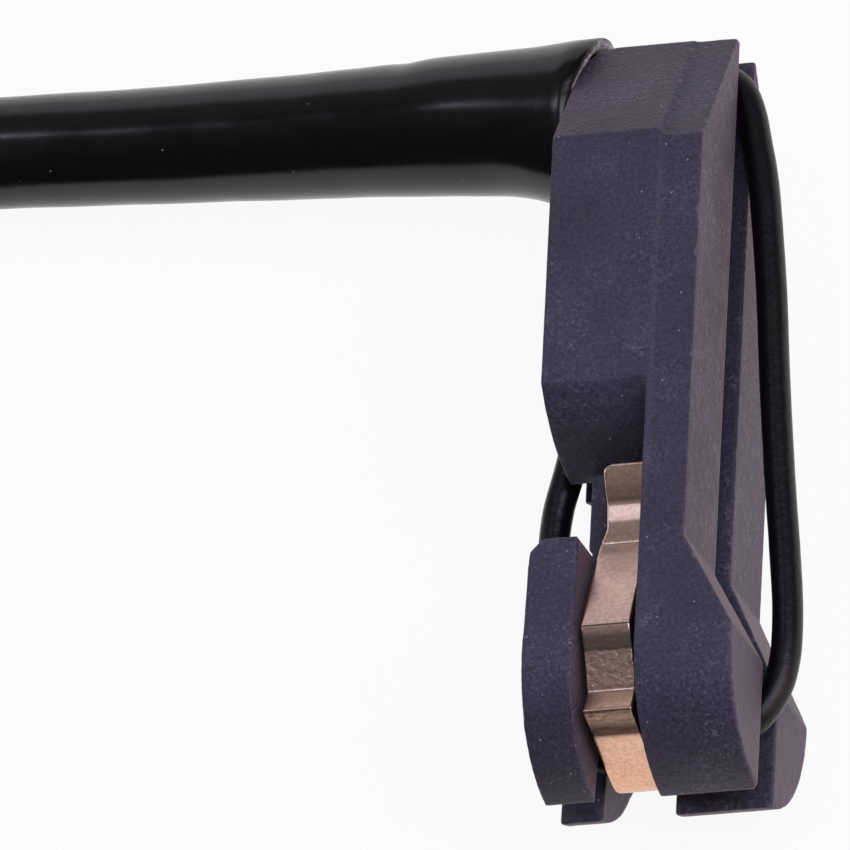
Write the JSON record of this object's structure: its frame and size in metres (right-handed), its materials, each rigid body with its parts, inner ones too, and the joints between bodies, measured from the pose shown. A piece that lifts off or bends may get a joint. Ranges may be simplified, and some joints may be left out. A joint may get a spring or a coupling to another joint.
{
  "type": "brake pad wear sensor",
  "caption": "Clip-in brake pad wear sensor: moulded head with retaining leaf spring and side wear loop, on a coiled sleeved lead that ends in a plug",
  "frame": {"origin": "centre of the bottom of the head's bounding box, with the head lying on its rear face", "axes": "+X runs across the head to the wear loop's side, +Y up the head's long axis from the foot to the lead's end, +Z out of the front face"},
  "size_m": [0.1003, 0.0625, 0.0104],
  "materials": {
    "head_plastic": "fine-grained dark blue-grey moulding",
    "spring_strip": "pale bronze-coloured rolled strip with bright bends",
    "wire_insulation": "satin near-black insulation",
    "lead_sleeve": "satin near-black flexible sleeve",
    "tie_band": "plain black",
    "plug_plastic": "fine-grained black moulding",
    "lock_plastic": "natural-coloured moulding",
    "seal_rubber": "soft matt silicone",
    "contact_metal": "tinned"
  },
  "bodies": {
    "root": {"sensor_head": "head_plastic", "retaining_spring": "spring_strip", "wear_loop_wire": "wire_insulation", "sleeve_mouth": "lead_sleeve", "sleeve_run": "lead_sleeve", "sleeve_coil": "lead_sleeve", "sleeve_tail": "lead_sleeve", "coil_tie_1": "tie_band", "coil_tie_2": "tie_band", "connector_housing": "plug_plastic", "rear_cover": "plug_plastic", "terminal_lock": "lock_plastic", "interface_seal": "seal_rubber", "wire_seal_1": "seal_rubber", "wire_seal_2": "seal_rubber", "contact_socket_1": "contact_metal", "contact_socket_2": "contact_metal", "lead_wire_1": "wire_insulation", "lead_wire_2": "wire_insulation"}
  },
  "joints": []
}
